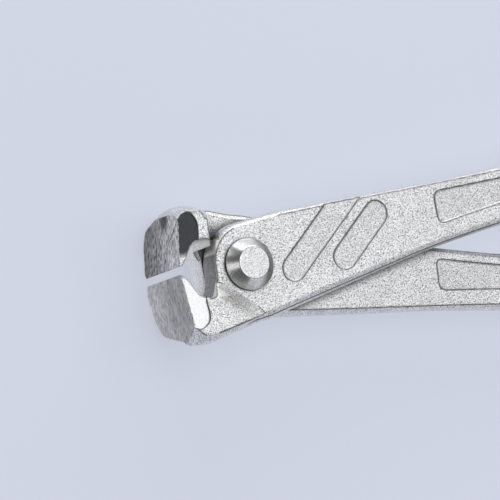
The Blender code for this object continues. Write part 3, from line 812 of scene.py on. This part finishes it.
class NippersForgings(bpy.types.Operator):
    """Build the two forged halves"""
    bl_idname = "nippers.forgings"
    bl_label = "Forged halves"

    def execute(self, context):
        settings = context.scene.nippers_forging
        pits, zinc = tuple(settings.pits), tuple(settings.zinc)
        shared = {
            "skin": blasted_zinc("zinc_on_forged_skin", linear("#747473"), linear("#d4d4d0"),
                                 grain_mm=0.35, depth_mm=0.13, painted_crease_line=True, throat=True),
            "plate": blasted_zinc("zinc_on_flat", pits, zinc, grain_mm=0.34, depth_mm=0.15,
                                  border_mm=0.7),
            "slope": blasted_zinc("zinc_on_slopes", pits, zinc, grain_mm=0.34, depth_mm=0.15,
                                  painted_crease_line=True),
            "field": blasted_zinc("zinc_in_pressed_field", linear("#5c5c5c"), linear("#e2e2e2"),
                                  grain_mm=0.31, depth_mm=0.13, painted_crease_line=True),
        }
        ground = {
            "front_half": {
                "front": ground_steel("ground_lower_jaw", linear("#83827d"), linear("#c9c7c0"),
                                      lean_deg=-7.3, foot_shade=1.30, top_shade=0.82),
                "side": ground_jaw_side("satin_jaw_side", linear("#dedfe0")),
            },
            "rear_half": {
                "front": ground_steel("ground_upper_jaw", linear("#31302f"), linear("#dedcd4"),
                                      lean_deg=7.3, foot_shade=0.40, top_shade=1.28,
                                      dark_spot=True),
                "side": ground_jaw_side("polished_jaw_side", linear("#808182"), MIRROR_TO_SATIN),
            },
        }
        for node in HALVES:
            half = welded_copy(node, node + "_forging")
            areas = flat_areas(half.data)
            line_points = creases(half.data)
            for kind, facing, distance, border in areas:
                if kind == "field":
                    line_points += stepped(border)
            even_cells(half, settings.cell, settings.softening)
            level_fields(half.data, areas)
            cut_away(half, slabs_over(areas))
            half.data.materials.clear()
            finishes = {**shared, **ground[node]}
            for kind in KINDS:
                half.data.materials.append(finishes[kind])
            mark_surfaces(half.data, areas)
            mark_rim(half.data, line_points)
            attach(half, BODIES[node])
            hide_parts(node)
        return {"FINISHED"}


class NippersRivet(bpy.types.Operator):
    """Build the pivot rivet"""
    bl_idname = "nippers.rivet"
    bl_label = "Pivot rivet"

    def execute(self, context):
        settings = context.scene.nippers_rivet
        rivet = linked("pivot_rivet_turned", turned_rivet_mesh(settings.turns))
        rivet.data.materials.append(turned_rivet(tuple(settings.dark), tuple(settings.light)))
        rivet.data.materials.append(
            blasted_zinc("zinc_on_rivet_flat", linear("#949698"), linear("#e2e3e4"),
                         grain_mm=0.32, depth_mm=0.07))
        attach(rivet, BODIES["pivot_rivet"])
        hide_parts("pivot_rivet")
        return {"FINISHED"}


class NippersGrips(bpy.types.Operator):
    """Build the dipped sleeves"""
    bl_idname = "nippers.grips"
    bl_label = "Dipped sleeves"

    def execute(self, context):
        settings = context.scene.nippers_grip
        vinyl = dipped_vinyl(tuple(settings.dark), tuple(settings.light))
        for node in GRIPS:
            grip = welded_copy(node, node + "_sleeve")
            even_cells(grip, settings.cell, settings.softening)
            grip.data.shade_smooth()
            grip.data.materials.append(vinyl)
            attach(grip, BODIES[node])
            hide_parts(node)
        return {"FINISHED"}


class NippersStage(bpy.types.Operator):
    """Set up the floor, the lights and the camera"""
    bl_idname = "nippers.stage"
    bl_label = "Studio"

    def execute(self, context):
        scene = context.scene
        settings = scene.nippers_stage
        paper = tuple(settings.paper)
        mesh = bmesh.new()
        bmesh.ops.create_grid(mesh, x_segments=1, y_segments=1, size=settings.floor_size / 2)
        data = bpy.data.meshes.new("floor")
        mesh.to_mesh(data)
        mesh.free()
        floor = linked("floor", data)
        data.materials.append(studio_paper(paper, settings.floor_glow))

        world = bpy.data.worlds.new("studio_room")
        world.use_nodes = True
        scene.world = world
        plug(world.node_tree, world.node_tree.nodes["Background"],
             {"Color": paper, "Strength": settings.room})

        for *placing, radiance in SOFTBOXES:
            add_softbox(scene, *placing, radiance * settings.key)
        add_camera(scene)
        scene.view_settings.view_transform = "Standard"
        return {"FINISHED"}


SETTINGS = {
    "nippers_forging": NippersForgingSettings,
    "nippers_rivet": NippersRivetSettings,
    "nippers_grip": NippersGripSettings,
    "nippers_stage": NippersStageSettings,
}
OPERATORS = (NippersForgings, NippersRivet, NippersGrips, NippersStage)


class NippersPanel(bpy.types.Panel):
    """Sidebar panel with one button for each part of the scene"""
    bl_idname = "NIPPERS_PT_panel"
    bl_label = "Tying nippers"
    bl_space_type = "VIEW_3D"
    bl_region_type = "UI"
    bl_category = "Nippers"

    def draw(self, context):
        for operator in OPERATORS:
            self.layout.operator(operator.bl_idname)


def register():
    for group in SETTINGS.values():
        bpy.utils.register_class(group)
    for name, group in SETTINGS.items():
        setattr(bpy.types.Scene, name, bpy.props.PointerProperty(type=group))
    for operator in OPERATORS:
        bpy.utils.register_class(operator)
    bpy.utils.register_class(NippersPanel)


def unregister():
    bpy.utils.unregister_class(NippersPanel)
    for operator in reversed(OPERATORS):
        bpy.utils.unregister_class(operator)
    for name, group in SETTINGS.items():
        delattr(bpy.types.Scene, name)
        bpy.utils.unregister_class(group)


def main():
    """Registers the add-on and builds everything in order."""
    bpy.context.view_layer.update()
    register()
    bpy.ops.nippers.forgings()
    bpy.ops.nippers.rivet()
    bpy.ops.nippers.grips()
    bpy.ops.nippers.stage()


if __name__ == "__main__":
    main()
